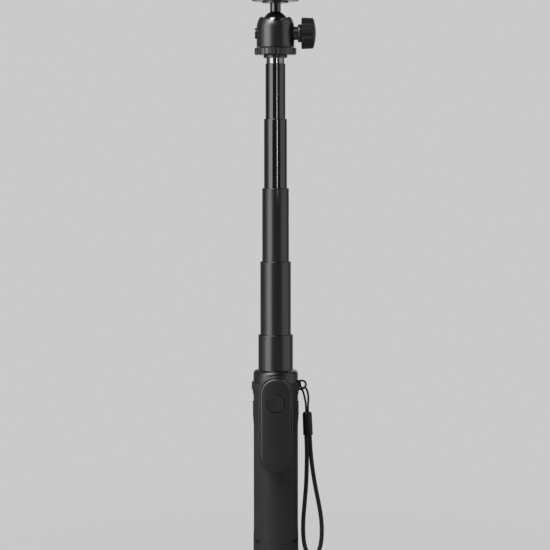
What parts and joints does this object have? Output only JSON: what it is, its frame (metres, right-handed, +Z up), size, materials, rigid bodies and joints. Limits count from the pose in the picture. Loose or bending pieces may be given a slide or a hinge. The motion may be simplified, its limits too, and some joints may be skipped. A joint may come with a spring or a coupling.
{
  "type": "selfie stick tripod",
  "caption": "Telescopic selfie stick with a small ball head, fold-up tripod legs round the grip, a parked shutter remote and a wrist strap.",
  "frame": {"origin": "on the mast's axis, at the bottom face of the base pad", "axes": "+Z up along the mast; the remote faces -Y; the clamp knob and the wrist strap are at +X"},
  "size_m": [0.05, 0.0429, 0.405],
  "materials": {
    "tube_gloss_black": "gloss black anodised",
    "tube_satin_black": "satin black anodised",
    "head_black": "semi-gloss black anodised",
    "ball_black": "polished black anodised",
    "bright_chrome": "polished",
    "soft_black": "soft-touch matte black",
    "collar_black": "semi-gloss black moulded",
    "knob_black": "matte black moulded",
    "remote_black": "fine satin black",
    "button_black": "fine satin black",
    "rubber_black": "matte black rubber",
    "steel": "plain turned steel",
    "screw_black": "blackened steel",
    "nylon_white": "natural nylon",
    "board_green": "coated circuit board",
    "cord_black": "braided black polyester",
    "ferrule_black": "semi-gloss black moulded"
  },
  "bodies": {
    "handle": {"outer_tube": "tube_satin_black", "top_collar": "collar_black", "strap_ring": "soft_black", "lower_ring": "soft_black", "grip_body": "soft_black", "base_cap": "soft_black", "base_pad": "rubber_black", "base_screws": "steel", "hinge_pin_right": "steel", "hinge_pin_left": "steel", "hinge_pin_back": "steel", "remote_cradle": "soft_black", "cradle_screws": "steel", "thin_cord": "cord_black", "ferrule": "ferrule_black", "wrist_strap": "cord_black"},
    "leg_right": {"leg_right": "soft_black", "foot_right": "rubber_black"},
    "leg_left": {"leg_left": "soft_black", "foot_left": "rubber_black"},
    "leg_back": {"leg_back": "soft_black", "foot_back": "rubber_black"},
    "mast_4": {"tube_4": "tube_satin_black", "bush_4": "nylon_white"},
    "mast_3": {"tube_3": "tube_satin_black", "bush_3": "nylon_white"},
    "mast_2": {"tube_2": "tube_gloss_black", "bush_2": "nylon_white"},
    "mast_1": {"tube_1": "tube_gloss_black", "bush_1": "nylon_white", "mast_plug": "bright_chrome", "head_collar": "head_black", "head_floor": "head_black", "ball_housing": "head_black", "side_screw": "screw_black"},
    "head_ring": {"lock_ring": "head_black"},
    "ball_pan": {"ball_seat": "nylon_white"},
    "ball_tilt": {"ball_stud": "ball_black"},
    "camera_deck": {"platform": "head_black", "platform_pad": "rubber_black", "camera_screw": "steel"},
    "clamp_pin": {"pressure_pin": "nylon_white"},
    "clamp_handle": {"clamp_screw": "steel", "knob_collar": "head_black", "clamp_knob": "knob_black"},
    "remote": {"remote_front_cover": "remote_black", "remote_back_cover": "remote_black", "remote_battery": "steel", "remote_board": "board_green"},
    "remote_key": {"remote_button": "button_black"}
  },
  "joints": [
    {"name": "section_4_slide", "type": "slide", "parent": "handle", "child": "mast_4", "axis": [0, 0, 1], "range_m": [-0.0464, 0.0486]},
    {"name": "section_3_slide", "type": "slide", "parent": "mast_4", "child": "mast_3", "axis": [0, 0, 1], "range_m": [-0.0464, 0.0486]},
    {"name": "section_2_slide", "type": "slide", "parent": "mast_3", "child": "mast_2", "axis": [0, 0, 1], "range_m": [-0.0436, 0.0514]},
    {"name": "section_1_slide", "type": "slide", "parent": "mast_2", "child": "mast_1", "axis": [0, 0, 1], "range_m": [-0.03375, 0.06125]},
    {"name": "lock_ring_turn", "type": "hinge", "parent": "mast_1", "child": "head_ring", "pos_m": [0, 0, 0.3588], "axis": [0, 0, 1], "continuous": true},
    {"name": "ball_pan", "type": "hinge", "parent": "mast_1", "child": "ball_pan", "pos_m": [0, 0, 0.3774], "axis": [0, 0, 1], "continuous": true},
    {"name": "ball_tilt", "type": "hinge", "parent": "ball_pan", "child": "ball_tilt", "pos_m": [0, 0, 0.3774], "axis": [1, 0, 0], "range_deg": [-30, 30]},
    {"name": "platform_turn", "type": "hinge", "parent": "ball_tilt", "child": "camera_deck", "pos_m": [0, 0, 0.3774], "axis": [0, 0, 1], "continuous": true},
    {"name": "clamp_travel", "type": "slide", "parent": "mast_1", "child": "clamp_pin", "axis": [1, 0, 0], "range_m": [0, 0.0008]},
    {"name": "knob_turn", "type": "hinge", "parent": "clamp_pin", "child": "clamp_handle", "pos_m": [0.0218, 0, 0.3711], "axis": [1, 0, 0], "range_deg": [0, 360]},
    {"name": "leg_right_fold", "type": "hinge", "parent": "handle", "child": "leg_right", "pos_m": [0.01065, -0.00615, 0.028], "axis": [0.5, 0.866, 0], "range_deg": [0, 110]},
    {"name": "leg_left_fold", "type": "hinge", "parent": "handle", "child": "leg_left", "pos_m": [-0.01065, -0.00615, 0.028], "axis": [0.5, -0.866, 0], "range_deg": [0, 110]},
    {"name": "leg_back_fold", "type": "hinge", "parent": "handle", "child": "leg_back", "pos_m": [0, 0.0123, 0.028], "axis": [-1, 0, 0], "range_deg": [0, 110]},
    {"name": "remote_release", "type": "slide", "parent": "handle", "child": "remote", "axis": [0, -1, 0], "range_m": [0, 0.03]},
    {"name": "button_press", "type": "slide", "parent": "remote", "child": "remote_key", "axis": [0, 1, 0], "range_m": [0, 0.0005], "stiffness_N_per_m": 800}
  ],
  "couplings": [
    {"joint": "knob_turn", "follows": "clamp_travel", "rad_per_m": 7854}
  ]
}
